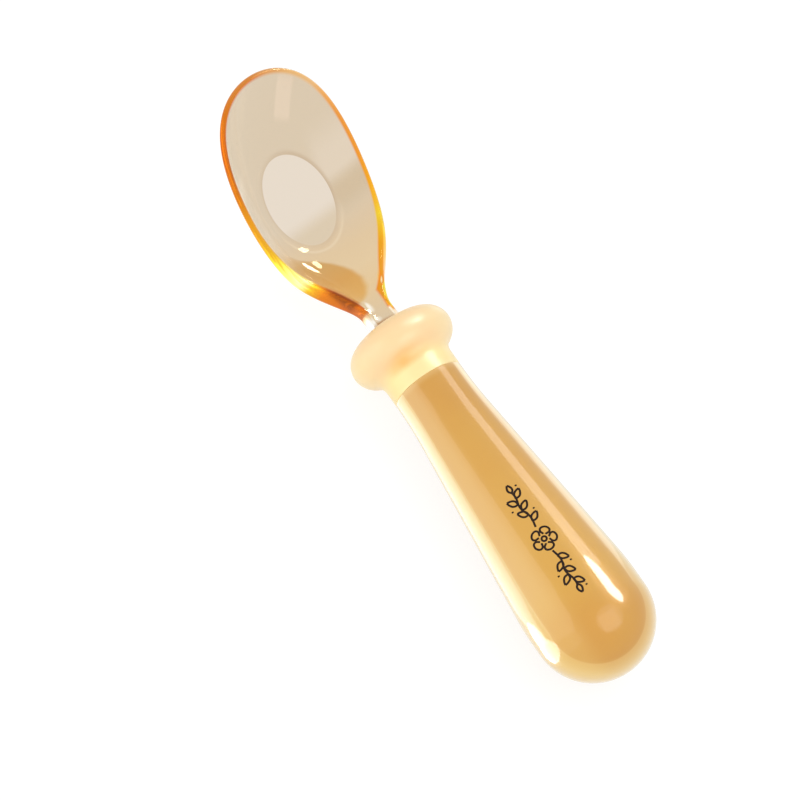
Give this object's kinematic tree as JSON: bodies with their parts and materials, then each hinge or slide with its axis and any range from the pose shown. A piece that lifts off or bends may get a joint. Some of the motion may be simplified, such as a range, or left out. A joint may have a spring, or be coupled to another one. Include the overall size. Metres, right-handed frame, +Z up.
{
  "type": "baby spoon",
  "caption": "Child's training spoon with a clear tilted bowl, a soft round guard ring and a short fat round-ended grip.",
  "frame": {"origin": "bottom centre of the box round the spoon as it lies on a table, bowl up", "axes": "+X along the spoon from the butt to the bowl's tip, +Z up out of the bowl, +Y to the left of someone who looks from the butt to the bowl"},
  "size_m": [0.14, 0.0294, 0.0265],
  "materials": {
    "clear_amber": "clear polished amber plastic",
    "soft_cream": "soft satin",
    "core_cream": "moulded, hidden",
    "gloss_caramel": "high gloss"
  },
  "bodies": {
    "root": {"spoon_head": "clear_amber", "guard_collar": "soft_cream", "grip_core": "core_cream", "grip_sleeve": "gloss_caramel"}
  },
  "joints": []
}
